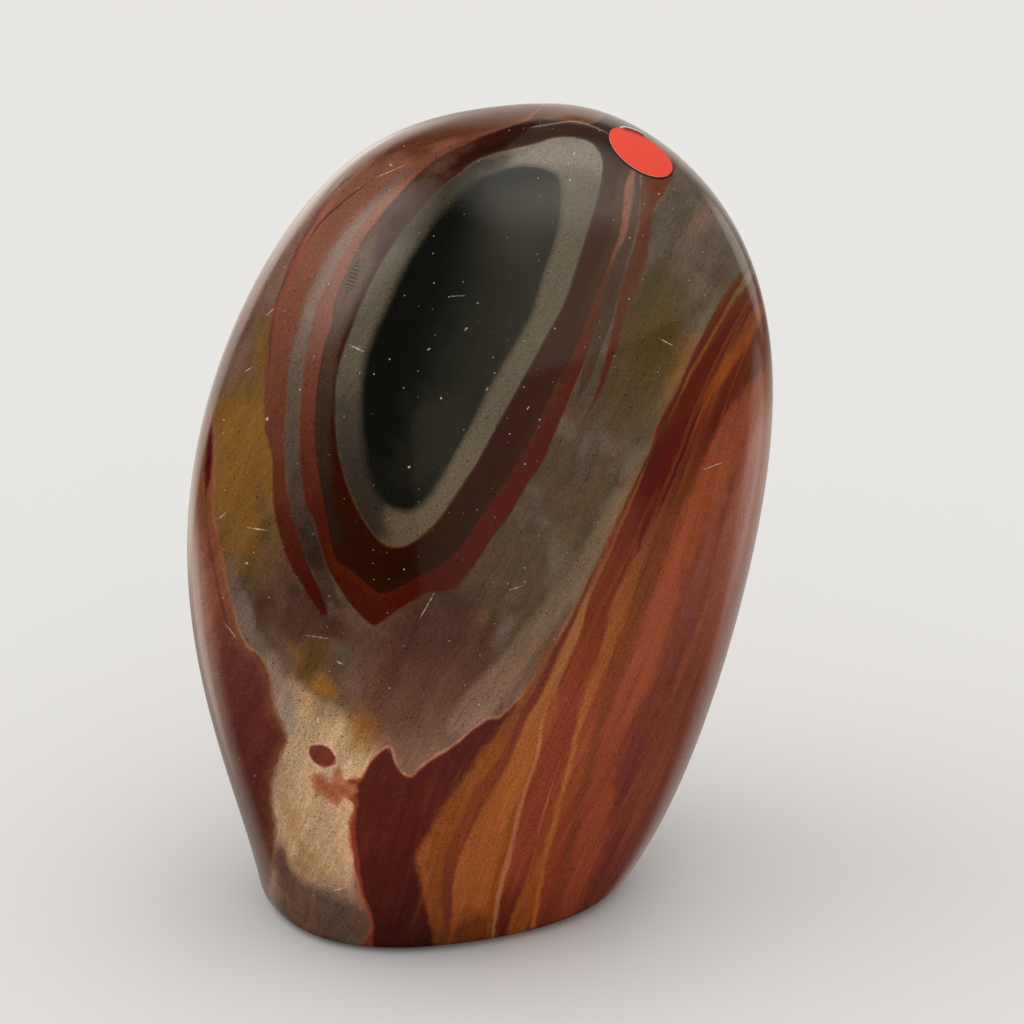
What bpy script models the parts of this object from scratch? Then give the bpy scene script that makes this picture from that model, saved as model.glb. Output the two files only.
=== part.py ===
"""Polished freeform of polychrome jasper that stands on its flat sawn base,
with a blank round paper label near the top of its right side.

Blender script, metres, +Z up. The origin is on the base plane, under the middle
of the stone's width and depth, and the side with the eye-shaped marking faces -Y.
"""

from math import cos, pi, radians, sin

import bmesh
import bpy
import numpy as np
from mathutils import Matrix, Vector
from numpy.polynomial import Polynomial

MM = 0.001

# The stone, in millimetres and degrees. Its outline is given at a few latitudes of
# an upright oval: the half width that the oval would have there if it were a
# cylinder, and how far the middle of that section is moved to the right.
LATITUDES = (-25.0, 0.0, 25.0, 50.0, 70.0, 90.0)
HALF_WIDTHS = (36.0, 47.5, 57.0, 65.0, 74.0, 94.0)
SIDE_SHIFTS = (-14.0, -9.0, -5.0, -0.5, 0.5, 9.5)
MIDDLE_HEIGHT = 42.0
UPRIGHT_RADIUS = 105.5
DEPTH_RATIO = 0.78
BACK_SHIFT = -5.0
BACK_LEAN = 4.5
SECTION_TURN = 18.0
CORNER_FULLNESS = 0.045
BOX_MIDDLE = (-5.93, -3.46)
BASE_EDGE_HEIGHT = 3.5

# The paper label, in millimetres and degrees on the stone.
LABEL_DIAMETER = 12.7
LABEL_THICKNESS = 0.3
LABEL_GAP = 0.3
LABEL_LATITUDE = 72.0
LABEL_LONGITUDE = 322.0

# How finely the solids are drawn: faces along a cube's side, rows of them on the
# rounded base edge, and the latitude of the row half way up the cube.
STONE_CUTS = 24
EDGE_ROWS = 3
MIDDLE_ROW = 15.0
LABEL_SIDES = 32
LABEL_RINGS = 3


def oval(latitude, longitude):
    """Point in millimetres on the polished side or top of the stone, from angles in degrees."""
    latitude, longitude = np.broadcast_arrays(latitude, longitude)
    last_power = len(LATITUDES) - 1
    flare = Polynomial.fit(LATITUDES, HALF_WIDTHS, last_power)
    shift = Polynomial.fit(LATITUDES, SIDE_SHIFTS, last_power)
    half_width = flare(latitude) * np.cos(np.radians(latitude))
    height = np.sin(np.radians(latitude))
    angle = np.radians(longitude)
    fullness = 1.0 + CORNER_FULLNESS * (1.0 - np.cos(4.0 * angle)) / 2.0
    across = half_width * fullness * np.cos(angle)
    along = half_width * fullness * np.sin(angle) * DEPTH_RATIO
    turn = radians(SECTION_TURN)
    x = shift(latitude) + cos(turn) * across - sin(turn) * along
    y = BACK_SHIFT + BACK_LEAN * height + sin(turn) * across + cos(turn) * along
    z = MIDDLE_HEIGHT + UPRIGHT_RADIUS * height
    return np.stack([x - BOX_MIDDLE[0], y - BOX_MIDDLE[1], z], axis=-1)


def latitude_at(height):
    """Latitude in degrees at which the oval reaches a height in millimetres."""
    return np.degrees(np.arcsin((height - MIDDLE_HEIGHT) / UPRIGHT_RADIUS))


def base_edge(longitude, along):
    """Point on the rounded edge of the base, from along 0 on the side to 1 on the flat face."""
    top = oval(latitude_at(BASE_EDGE_HEIGHT), longitude)
    corner = oval(latitude_at(0.0), longitude)
    inward = oval(latitude_at(0.0), longitude + 180.0) - corner
    inward /= np.linalg.norm(inward, axis=-1, keepdims=True)
    foot = corner + inward * np.linalg.norm(top - corner, axis=-1, keepdims=True)
    along = np.asarray(along)[..., None]
    return (1.0 - along) ** 2 * top + 2.0 * along * (1.0 - along) * corner + along ** 2 * foot


def stone_points(cube):
    """Places in metres for the points of a cube from -1 to 1, which becomes the stone.

    The upper half is spread evenly over the dome, the lower half falls in level rows
    to the rounded base edge, and the cube's bottom face becomes the flat base.
    """
    bent = np.tan(cube * (pi / 4.0))
    longitude = np.degrees(np.arctan2(bent[:, 1], bent[:, 0]))
    upper = np.degrees(np.arctan2(bent[:, 2], np.hypot(bent[:, 0], bent[:, 1])))
    upper = upper + MIDDLE_ROW * (1.0 - upper / 90.0) ** 2
    edge_start = 1.0 - 2.0 * EDGE_ROWS / STONE_CUTS
    drop = np.clip(-cube[:, 2], 0.0, 1.0)
    edge_latitude = latitude_at(BASE_EDGE_HEIGHT)
    lower = MIDDLE_ROW + (edge_latitude - MIDDLE_ROW) * np.clip(drop / edge_start, 0.0, 1.0)
    points = oval(np.where(drop > 0.0, lower, upper), longitude)
    rounding = np.clip((drop - edge_start) / (1.0 - edge_start), 0.0, 1.0)
    on_edge = (rounding > 0.0)[:, None]
    points = np.where(on_edge, base_edge(longitude, rounding), points)
    reach = np.maximum(abs(cube[:, 0]), abs(cube[:, 1]))[:, None]
    foot = base_edge(longitude, np.ones(len(cube)))
    middle = (oval(latitude_at(0.0), 0.0) + oval(latitude_at(0.0), 180.0)) / 2.0
    flat = middle + (foot - middle) * reach
    on_base = (cube[:, 2] < -0.999)[:, None]
    return np.where(on_base, flat, points) * MM


def make_material(name, colour, roughness):
    material = bpy.data.materials.new(name)
    material.use_nodes = True
    shader = material.node_tree.nodes["Principled BSDF"]
    shader.inputs["Base Color"].default_value = (*colour, 1.0)
    shader.inputs["Roughness"].default_value = roughness
    shader.inputs["Metallic"].default_value = 0.0
    return material


def add_object(name, shape, material):
    """A named object from a bmesh, smooth but for its real edges."""
    mesh = bpy.data.meshes.new(name)
    shape.to_mesh(mesh)
    shape.free()
    mesh.materials.append(material)
    mesh.shade_smooth()
    mesh.set_sharp_from_angle(angle=radians(40.0))
    item = bpy.data.objects.new(name, mesh)
    bpy.context.scene.collection.objects.link(item)
    return item


def make_stone():
    shape = bmesh.new()
    bmesh.ops.create_cube(shape, size=2.0)
    bmesh.ops.subdivide_edges(shape, edges=shape.edges, cuts=STONE_CUTS - 1, use_grid_fill=True)
    places = stone_points(np.array([corner.co for corner in shape.verts]))
    for corner, place in zip(shape.verts, places):
        corner.co = place
    bmesh.ops.recalc_face_normals(shape, faces=shape.faces)
    return add_object("stone", shape, make_material("Jasper", (0.13, 0.055, 0.035), 0.12))


def label_plane():
    """Matrix from millimetres on a flat label, +Z outwards, to its place beside the stone."""
    middle = Vector(oval(LABEL_LATITUDE, LABEL_LONGITUDE))
    east = Vector(oval(LABEL_LATITUDE, LABEL_LONGITUDE + 1.0)) - middle
    north = Vector(oval(LABEL_LATITUDE + 1.0, LABEL_LONGITUDE)) - middle
    outward = east.cross(north).normalized()
    across = east.normalized()
    turned = Matrix((across, outward.cross(across), outward)).transposed().to_4x4()
    return Matrix.Scale(MM, 4) @ Matrix.Translation(middle + outward * LABEL_GAP) @ turned


def make_label(stone):
    """A round sheet of paper laid on the curved stone."""
    radius = LABEL_DIAMETER / 2.0
    shape = bmesh.new()
    bmesh.ops.create_circle(shape, cap_ends=True, radius=radius, segments=LABEL_SIDES)
    bmesh.ops.recalc_face_normals(shape, faces=shape.faces)
    cap = shape.faces[:]
    for _ in range(LABEL_RINGS - 1):
        bmesh.ops.inset_region(shape, faces=cap, use_boundary=True, thickness=radius / LABEL_RINGS)
    bmesh.ops.poke(shape, faces=cap)
    bmesh.ops.transform(shape, matrix=label_plane(), verts=shape.verts)
    label = add_object("paper_label", shape, make_material("Paper", (0.83, 0.07, 0.045), 0.6))

    lay = label.modifiers.new("Lay on the stone", "SHRINKWRAP")
    lay.target = stone
    lay.wrap_method = "NEAREST_SURFACEPOINT"
    lay.wrap_mode = "ABOVE_SURFACE"
    lay.offset = LABEL_GAP * MM
    thicken = label.modifiers.new("Paper thickness", "SOLIDIFY")
    thicken.thickness = LABEL_THICKNESS * MM
    thicken.offset = 1.0


def main():
    for item in list(bpy.data.objects):
        bpy.data.objects.remove(item, do_unlink=True)
    stone = make_stone()
    make_label(stone)


main()
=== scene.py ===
"""Looks of a polished freeform of polychrome jasper and its round paper label.

The stone and the label are modelled finely over their CAD solids. The marking was traced
as a few outlines and streaks, in pixels of the 1024 x 1024 photo, and is carried through the stone
along the photo's line of sight, so that it goes on over the sides and the back.
"""

from functools import partial
from math import atan2, cos, degrees, pi, radians, sin

import bmesh
import bpy
import numpy as np
from bpy.props import FloatProperty, FloatVectorProperty, IntProperty, PointerProperty
from mathutils import Matrix, Vector
from mathutils.bvhtree import BVHTree
from numpy.polynomial import Polynomial


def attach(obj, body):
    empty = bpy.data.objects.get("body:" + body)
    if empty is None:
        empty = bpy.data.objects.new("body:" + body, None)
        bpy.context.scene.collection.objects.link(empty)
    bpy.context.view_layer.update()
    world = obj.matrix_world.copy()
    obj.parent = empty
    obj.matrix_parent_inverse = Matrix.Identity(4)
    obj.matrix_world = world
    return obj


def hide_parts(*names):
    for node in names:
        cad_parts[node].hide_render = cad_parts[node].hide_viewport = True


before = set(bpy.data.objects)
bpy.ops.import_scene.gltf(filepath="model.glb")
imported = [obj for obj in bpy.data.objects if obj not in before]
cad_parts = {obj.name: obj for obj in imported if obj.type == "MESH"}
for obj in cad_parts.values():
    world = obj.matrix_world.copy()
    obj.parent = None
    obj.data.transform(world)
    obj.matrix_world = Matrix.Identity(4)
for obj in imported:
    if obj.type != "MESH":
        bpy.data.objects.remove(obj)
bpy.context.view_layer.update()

bl_info = {
    "name": "Polished Jasper Freeform",
    "version": (1, 0, 0),
    "blender": (4, 5, 0),
    "location": "View3D > Sidebar > Jasper",
    "description": "A polished upright jasper with an eye-shaped marking and a paper label",
    "category": "Object",
}

MM = 0.001

# The stone's form, in millimetres and degrees, as in the CAD source: half widths and sideways
# shifts of an upright oval at a few latitudes.
LATITUDES = (-25.0, 0.0, 25.0, 50.0, 70.0, 90.0)
HALF_WIDTHS = (36.0, 47.5, 57.0, 65.0, 74.0, 94.0)
SIDE_SHIFTS = (-14.0, -9.0, -5.0, -0.5, 0.5, 9.5)
MIDDLE_HEIGHT = 42.0
UPRIGHT_RADIUS = 105.5
DEPTH_RATIO = 0.78
BACK_SHIFT = -5.0
BACK_LEAN = 4.5
SECTION_TURN = 18.0
CORNER_FULLNESS = 0.045
BOX_MIDDLE = (-5.93, -3.46)
BASE_EDGE_HEIGHT = 3.5
EDGE_SHARE = 0.125
MIDDLE_ROW = 15.0
SHARP_ANGLE = 40.0

# The label, in millimetres and degrees on the stone.
LABEL_DIAMETER = 12.7
LABEL_LATITUDE = 72.5
LABEL_LONGITUDE = 325.0
LABEL_SIDES = 96
LABEL_RINGS = 24
LIP_TURN = 38.0
LIP_SPREAD = 30.0
LIP_FADE = 12.0
LIP_DEPTH = 1.9
LIP_PULL = 0.03
LIP_WHITE_FROM = 0.35
PAPER_GAP = 0.045
# A dark sheet under the label, wider than it and shifted to its lower side, is a painted shadow round its
# edge: how much wider, how far shifted and its gap to the stone.
SHADOW_SHEET_RIM = 0.22
SHADOW_SHEET_SHIFT = 0.2
SHADOW_SHEET_GAP = -0.07
CAST_HEIGHT = 10.0
RED_PAPER, WHITE_PAPER, SHADOW_SHEET = 0, 1, 3

# The photo's view: a point in the stone that it is centred on, its distance and downward angle,
# and the size of a pixel at that point, all in millimetres and degrees.
VIEW_CENTRE = (5.93, 3.46, 72.0)
VIEW_ELEVATION = 24.0
VIEW_DISTANCE = 700.0
PIXEL_MM = 0.1814
PHOTO_SIDE = 1024
SENSOR_MM = 36.0
FLOOR_REACH = 6.0

# Outlines traced in the photo's pixels. Each is a closed curve, and points outside the stone
# only lead it round the back.
OUTLINES = {
    "core": (
        (533, 166), (551, 171), (560, 182), (561, 210), (555, 240), (542, 279), (530, 318), (500, 370),
        (484, 399), (469, 428), (452, 459), (432, 494), (419, 508), (405, 512), (384, 504), (369, 475),
        (361, 435), (360, 395), (366, 352), (385, 307), (405, 264), (431, 224), (453, 200), (478, 179),
        (506, 168),
    ),
    "rim": (
        (440, 188), (457, 175), (472, 163), (491, 154), (532, 144), (550, 138), (565, 136), (590, 141),
        (601, 154), (603, 171), (598, 198), (587, 235), (574, 276), (566, 300), (545, 340), (523, 380),
        (500, 421), (480, 458), (458, 492), (440, 518), (421, 537), (403, 547), (386, 546), (370, 530),
        (355, 504), (343, 472), (336, 435), (335, 397), (337, 372), (347, 339), (366, 292), (385, 256),
        (406, 227),
    ),
    "maroon": (
        (631, 171), (624, 199), (620, 231), (608, 267), (594, 300), (573, 355), (560, 377), (530, 440),
        (509, 476), (486, 509), (463, 544), (441, 565), (409, 582), (383, 594), (368, 585), (352, 571),
        (335, 557), (325, 508), (316, 453), (316, 402), (324, 348), (332, 325), (334, 306), (340, 288),
        (347, 272), (366, 235), (397, 196), (432, 162), (472, 141), (497, 131), (520, 123), (540, 119),
        (560, 121), (584, 124), (604, 116), (640, 60), (700, 60), (670, 120),
    ),
    "orange": (
        (636, 175), (631, 203), (624, 235), (616, 260), (609, 292), (602, 320), (590, 350), (575, 387),
        (560, 422), (543, 462), (525, 488), (511, 513), (491, 539), (471, 570), (451, 590), (430, 592),
        (402, 607), (380, 623), (370, 624), (349, 602), (327, 566), (314, 521), (305, 500), (300, 453),
        (301, 402), (306, 355), (312, 329), (319, 300), (337, 267), (358, 229), (391, 190), (428, 158),
        (471, 139), (498, 130), (526, 120), (546, 98), (580, 70), (690, 50), (680, 120),
    ),
    "brick": (
        (276, 300), (270, 325), (265, 376), (265, 428), (272, 457), (274, 508), (285, 553), (302, 585),
        (322, 614), (327, 608), (311, 570), (297, 530), (287, 489), (285, 440), (287, 396), (290, 357),
        (299, 322), (308, 300), (321, 271), (332, 252), (352, 226), (368, 210), (385, 190), (407, 173),
        (440, 152), (471, 138), (498, 129), (526, 119), (545, 98), (580, 60), (440, 40), (360, 130),
        (346, 178), (328, 200), (310, 228), (294, 258), (284, 285),
    ),
    "left_side": (
        (275, 262), (250, 312), (233, 342), (220, 372), (211, 399), (211, 420), (214, 451), (212, 489),
        (211, 502), (214, 527), (221, 559), (230, 600), (243, 642), (262, 659), (270, 685), (275, 711),
        (286, 738), (277, 760), (270, 795), (274, 829), (269, 888), (262, 980), (100, 980), (60, 600),
    ),
    "dark_mass": (
        (376, 980), (373, 925), (361, 893), (355, 862), (350, 828), (355, 804), (339, 791), (349, 780),
        (362, 777), (372, 760), (389, 747), (395, 764), (409, 777), (427, 763), (456, 744), (486, 720),
        (500, 717), (520, 699), (546, 660), (577, 605), (605, 546), (626, 501), (646, 463), (657, 428),
        (679, 387), (700, 342), (724, 300), (747, 269), (810, 190), (1000, 300), (1000, 1000), (600, 1100),
    ),
    "deep_maroon": (
        (376, 980), (374, 925), (365, 893), (359, 862), (355, 828), (358, 803), (356, 788), (364, 777),
        (373, 760), (389, 748), (395, 765), (409, 778), (427, 764), (456, 745), (486, 721), (500, 718),
        (520, 700), (500, 760), (470, 800), (440, 870), (430, 980),
    ),
    "ochre_zone": (
        (452, 980), (431, 915), (417, 862), (431, 830), (446, 806), (461, 785), (480, 755), (508, 722),
        (533, 686), (560, 640), (584, 598), (604, 560), (584, 621), (560, 690), (532, 760), (512, 842),
        (497, 919), (490, 980),
    ),
    "right_side": (
        (775, 300), (762, 380), (750, 430), (738, 480), (724, 529), (714, 566), (703, 604), (690, 645),
        (672, 690), (657, 722), (643, 758), (634, 794), (628, 815), (615, 850), (602, 890), (588, 940),
        (575, 1000), (900, 1000), (1100, 600), (900, 200),
    ),
    "blob": ((309, 748), (316, 745), (325, 746), (333, 753), (336, 761), (331, 766), (322, 767), (311, 759)),
    "patch": (
        (312, 776), (318, 773), (324, 776), (330, 781), (334, 776), (337, 768), (341, 771), (343, 780),
        (350, 783), (356, 790), (350, 798), (343, 799), (339, 806), (331, 803), (321, 796), (313, 787),
    ),
}

# Streaks traced in the same way: x, y and full width in pixels along the middle of each.
STREAKS = {
    "right_grey": (
        (638, 160, 5), (636, 203, 6), (630, 235, 9), (620, 262, 13), (612, 290, 15), (603, 325, 14),
        (594, 352, 12), (585, 380, 8), (574, 412, 0),
    ),
    "right_brick": (
        (668, 150, 30), (656, 180, 28), (648, 204, 16), (646, 220, 13), (641, 248, 14), (634, 272, 17),
        (626, 296, 15), (619, 320, 9), (613, 346, 8), (606, 370, 7), (600, 388, 4), (586, 416, 0),
    ),
    "purple_line": (
        (362, 158, 0), (340, 181, 3), (326, 200, 4), (311, 226, 5), (293, 261, 5), (282, 288, 4),
        (274, 314, 3), (270, 346, 2), (268, 376, 0),
    ),
    "orange_line": (
        (372, 162, 0), (345, 184, 4), (328, 209, 6), (315, 229, 5), (305, 244, 5), (296, 264, 6),
        (287, 285, 5), (279, 302, 4), (273, 318, 2), (269, 335, 0),
    ),
    "crack": ((372, 180, 0), (358, 190, 2), (345, 200, 2), (331, 212, 2), (318, 226, 2), (306, 246, 0)),
    "pink_edge": (
        (424, 158, 0), (440, 152, 2), (456, 146, 2), (470, 139, 3), (498, 130, 3), (524, 121, 3),
        (538, 110, 2), (555, 95, 0),
    ),
    "left_wedge": ((212, 418, 0), (210, 436, 4), (209, 452, 6), (208, 470, 7), (207, 484, 4), (206, 496, 0)),
    "left_line": (
        (208, 492, 0), (207, 521, 2), (209, 540, 3), (214, 566, 3), (220, 596, 3), (232, 640, 2),
        (250, 690, 0),
    ),
    "left_strip": (
        (222, 340, 0), (204, 400, 8), (191, 455, 8), (187, 505, 9), (191, 560, 24), (197, 605, 26),
        (204, 645, 24), (212, 685, 20), (221, 725, 16), (232, 765, 10), (245, 805, 0),
    ),
    "grey_band": (
        (430, 160, 0), (417, 166, 6), (388, 190, 8), (357, 229, 12), (345, 243, 13), (330, 264, 14),
        (314, 298, 14), (306, 326, 14), (299, 356, 16), (295, 399, 15), (293, 446, 16), (297, 495, 18),
        (306, 530, 18), (320, 570, 16), (334, 598, 8), (340, 610, 0),
    ),
    "pale_border": (
        (652, 446, 0), (634, 478, 10), (613, 512, 16), (594, 548, 20), (572, 583, 20), (552, 610, 22),
        (529, 640, 24), (502, 676, 30), (480, 702, 30), (456, 728, 20), (442, 742, 0),
    ),
    "dark_edge": (
        (756, 258, 3), (746, 270, 3), (731, 287, 3), (718, 308, 3), (706, 333, 3), (696, 352, 3),
        (681, 387, 3), (667, 420, 3), (654, 447, 2), (641, 472, 2), (618, 522, 0),
    ),
    "brick_band": (
        (768, 300, 14), (744, 318, 16), (724, 342, 15), (704, 374, 17), (679, 417, 20), (658, 456, 16),
        (647, 492, 24), (630, 529, 22), (617, 566, 24), (598, 604, 21), (590, 641, 24), (571, 686, 24),
        (566, 722, 20), (553, 758, 26), (537, 800, 26), (524, 860, 27), (510, 900, 18), (503, 930, 10),
        (494, 980, 8),
    ),
    "deep_brown": (
        (706, 392, 0), (697, 410, 7), (686, 430, 13), (673, 456, 17), (660, 488, 13), (647, 522, 8),
        (632, 566, 0),
    ),
    "tan_line": (
        (752, 270, 7), (744, 284, 7), (734, 298, 4), (720, 322, 3), (702, 354, 3), (690, 374, 3),
        (669, 417, 2), (650, 454, 2), (635, 492, 3), (619, 529, 3), (603, 566, 3), (595, 580, 3),
        (585, 604, 5), (580, 620, 8), (572, 641, 9), (552, 686, 11), (533, 722, 16), (523, 758, 19),
        (509, 800, 18), (500, 840, 0),
    ),
    "amber": (
        (765, 300, 9), (756, 316, 12), (746, 338, 11), (730, 362, 11), (712, 389, 9), (702, 410, 9),
        (690, 433, 7), (678, 458, 5), (667, 482, 3), (652, 512, 0),
    ),
    "dark_line": (
        (712, 388, 0), (696, 418, 2), (683, 452, 3), (667, 491, 3), (650, 528, 3), (634, 567, 2),
        (627, 604, 2), (617, 640, 2), (606, 680, 0),
    ),
    "wavy_maroon": (
        (602, 554, 0), (591, 578, 3), (579, 605, 3), (571, 624, 4), (557, 650, 6), (541, 686, 8),
        (524, 716, 8), (512, 742, 8), (505, 758, 10), (493, 777, 13), (483, 790, 16), (475, 806, 15),
        (466, 826, 14), (456, 846, 14), (449, 868, 13), (447, 892, 11), (447, 916, 8), (449, 940, 0),
    ),
    "pale_vein": (
        (582, 621, 0), (570, 648, 1), (557, 686, 2), (549, 702, 2), (542, 722, 3), (539, 745, 4),
        (535, 762, 4), (524, 794, 4), (519, 813, 5), (513, 838, 4), (508, 860, 5), (502, 880, 4),
        (498, 900, 4), (494, 926, 3), (488, 970, 2),
    ),
    "faint_line": ((557, 770, 0), (550, 792, 1), (543, 815, 2), (537, 839, 1), (532, 862, 1), (526, 886, 0)),
    "ochre_vein": (
        (668, 478, 0), (651, 529, 6), (634, 576, 13), (622, 604, 17), (611, 641, 14), (603, 662, 11),
        (592, 686, 10), (580, 724, 6), (571, 758, 4), (562, 794, 4), (557, 813, 5), (544, 861, 6),
        (537, 901, 5), (531, 940, 4), (524, 985, 4),
    ),
    "ochre_low": ((547, 846, 0), (534, 878, 9), (526, 900, 15), (519, 924, 16), (510, 970, 16)),
    "olive_streak": (
        (738, 376, 0), (722, 410, 8), (696, 454, 15), (681, 492, 17), (665, 529, 15), (649, 570, 15),
        (640, 604, 12), (628, 642, 12), (612, 686, 10), (601, 722, 9), (592, 758, 8), (584, 785, 9),
        (577, 813, 10), (567, 861, 10), (557, 901, 10), (546, 960, 8),
    ),
    "orange_red": (
        (775, 370, 12), (744, 414, 30), (722, 456, 36), (703, 492, 28), (688, 529, 28), (674, 566, 27),
        (662, 604, 29), (652, 641, 30), (635, 686, 32), (620, 722, 26), (606, 758, 24), (601, 794, 22),
        (597, 815, 26), (584, 861, 26), (570, 901, 24), (560, 950, 16),
    ),
    "plum_streak": (
        (738, 455, 0), (724, 490, 10), (712, 529, 14), (705, 566, 17), (690, 606, 21), (679, 642, 21),
        (661, 686, 18), (646, 722, 19), (631, 760, 20), (623, 794, 19), (620, 815, 16), (608, 861, 15),
        (592, 900, 14), (580, 950, 8),
    ),
    "inner_ochre": (
        (560, 630, 0), (548, 651, 6), (532, 686, 8), (511, 722, 10), (490, 757, 15), (469, 793, 20),
        (452, 822, 24), (440, 858, 24), (438, 900, 22), (446, 960, 18),
    ),
    "stitches": ((347, 294, 0), (349, 287, 8), (353, 275, 9), (357, 263, 6), (359, 257, 0)),
    "olive_low": ((524, 788, 0), (515, 812, 6), (509, 838, 7), (502, 860, 8), (492, 900, 5), (486, 960, 5)),
}

# Two curves that the stone's grain flows along, in the same pixels.
GRAIN_LEFT = (
    (790, 190), (747, 269), (700, 342), (657, 428), (605, 546), (544, 656), (500, 740), (466, 810),
    (420, 960),
)
GRAIN_RIGHT = (
    (830, 230), (800, 300), (775, 400), (752, 530), (716, 680), (670, 800), (620, 900), (590, 960),
)

# Soft patches of tint: x, y, half length, half width in pixels, turn in degrees, strength.
TINTS = {
    "ochre_tint": (
        (238, 440, 66, 40, 75, 1), (250, 505, 60, 38, 80, 0.9), (266, 345, 46, 20, 66, 0.7),
        (238, 548, 40, 26, 60, 0.7), (218, 480, 60, 8, 86, 0.9), (656, 342, 50, 16, 64, 0.7),
        (672, 372, 44, 14, 60, 1), (322, 684, 16, 9, -40, 1), (366, 729, 30, 20, 60, 0.8),
        (300, 660, 30, 6, -62, 0.8), (283, 620, 30, 6, -66, 0.5), (290, 818, 32, 13, -78, 0.6),
        (306, 866, 26, 14, 70, 0.45), (384, 660, 44, 16, 80, 0.5), (477, 634, 30, 6, 62, 0.4),
        (500, 625, 24, 5, 62, 0.35), (520, 600, 26, 5, 62, 0.3),
    ),
    "cream_tint": (
        (300, 712, 30, 16, 80, 0.8), (318, 752, 36, 34, 85, 1), (346, 742, 24, 22, 60, 0.8),
        (320, 800, 64, 44, 88, 1), (304, 856, 44, 40, 88, 1), (360, 762, 24, 10, 60, 0.9),
        (338, 846, 46, 10, 88, 0.8), (344, 888, 34, 9, 88, 1), (296, 690, 16, 9, -60, 0.6),
    ),
    "olive_tint": (
        (312, 656, 32, 15, 70, 1), (344, 606, 20, 12, 60, 0.5), (640, 306, 60, 20, 66, 1),
        (648, 350, 60, 30, 62, 1), (630, 400, 44, 22, 62, 0.8), (664, 300, 36, 20, 60, 0.6),
        (256, 580, 26, 14, 70, 0.5), (264, 512, 40, 10, -80, 0.8), (620, 440, 60, 24, 64, 0.35),
        (570, 520, 50, 20, 62, 0.35), (500, 560, 30, 10, 62, 0.3),
    ),
    "mauve_tint": (
        (284, 245, 90, 24, 60, 1), (262, 606, 44, 20, 60, 0.7), (420, 650, 90, 50, 60, 0.9),
        (396, 706, 50, 30, 70, 0.8), (470, 690, 60, 40, 50, 0.6), (500, 640, 50, 34, 60, 0.4),
        (300, 622, 24, 18, 60, 0.9), (436, 634, 40, 22, 60, 1), (700, 225, 30, 12, 55, 0.4),
        (281, 858, 24, 10, -82, 0.85), (296, 893, 24, 11, -50, 0.9), (322, 922, 34, 10, -14, 0.8),
        (312, 604, 30, 14, 52, 1), (290, 584, 24, 9, -66, 0.8), (335, 628, 24, 11, -30, 1),
        (236, 366, 36, 9, 66, 0.8),
    ),
    "rim_shade": (
        (352, 455, 70, 18, -84, 1), (368, 490, 34, 14, -68, 1), (376, 528, 20, 12, -45, 0.55),
        (446, 196, 74, 18, 44, 1), (494, 163, 26, 10, 24, 0.8),
    ),
    "olive_rim": (
        (352, 280, 60, 12, 64, 1), (334, 340, 50, 10, 74, 1), (323, 400, 50, 9, 86, 1),
        (322, 455, 40, 8, -84, 1), (330, 515, 40, 8, -74, 0.8), (444, 166, 36, 9, 40, 0.2),
        (404, 204, 26, 9, 50, 0.1),
    ),
    "right_deep": (
        (608, 300, 60, 26, 68, 1), (580, 370, 60, 26, 64, 1), (545, 450, 60, 26, 60, 1),
        (500, 520, 60, 28, 50, 1), (436, 590, 56, 26, 28, 1),
    ),
    "core_pale": ((500, 300, 120, 44, 64, 1), (440, 430, 70, 34, 60, 1), (520, 200, 50, 44, 60, 1)),
    "grey_tint": (
        (284, 712, 30, 13, -72, 0.9), (272, 668, 26, 11, -70, 0.9), (243, 612, 44, 11, -73, 1),
        (300, 862, 50, 10, 88, 0.3), (338, 760, 16, 8, 60, 0.4), (506, 632, 26, 10, 62, 0.7),
        (660, 240, 46, 16, 62, 0.7), (700, 280, 40, 14, 60, 0.5), (590, 450, 50, 16, 62, 0.3),
    ),
}

# The largest pale scratches of wear with round painted glints, and dark pits: x, y, half length,
# half width in pixels, turn in degrees.
PALE_SCRATCHES_AND_GLINTS = (
    (391, 171, 17, 0.6, 24), (356, 348, 9, 1.2, -24), (257, 529, 12, 0.8, -8), (427, 606, 16, 0.6, 60),
    (516, 588, 9, 0.5, 18), (317, 637, 14, 0.5, -8), (340, 889, 11, 0.6, 16), (713, 466, 12, 0.6, 20),
    (230, 630, 12, 0.7, -52), (666, 342, 9, 0.7, -28), (222, 516, 6, 0.6, 40), (249, 369, 6, 0.6, 30),
    (270, 312, 7, 0.6, 40), (487, 389, 2.4, 1, 60), (391, 165, 2.6, 1.2, -40), (340, 663, 4, 1, -30),
    (247, 563, 2.2, 1.2, 30), (267, 419, 2.4, 1.6, 60), (409, 467, 1.8, 1.2, 20), (466, 329, 2.4, 1, 50),
    (429, 349, 2.6, 0.8, 30), (441, 398, 1.4, 1.4, 0), (528, 408, 2.4, 0.8, 60), (478, 303, 1.6, 1, 0),
    (350, 763, 2, 5, -8), (318, 720, 1.5, 3.5, 0), (330, 742, 2, 4, 0), (318, 845, 1, 6, 0),
    (457, 296, 9, 0.4, 2), (574, 154, 3, 0.7, 60),
)
PITS = (
    (614, 880, 9, 0.9, 52), (316, 795, 1.8, 1.3, 0), (739, 614, 2.5, 1.5, 60), (343, 183, 20, 0.9, 40),
    (193, 473, 2, 1.2, 60), (589, 184, 1.6, 1.3, 0), (305, 822, 1.8, 1.2, 30), (500, 602, 1.5, 1, 0),
)

# A streak runs on past an end where it is wider than STREAK_OPEN, and tapers off past the others: how
# far it is drawn beyond its ends, and its width there, in pixels.
STREAK_OPEN = 0.5
STREAK_LEAD = 400.0
STREAK_SHUT = -60.0

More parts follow.
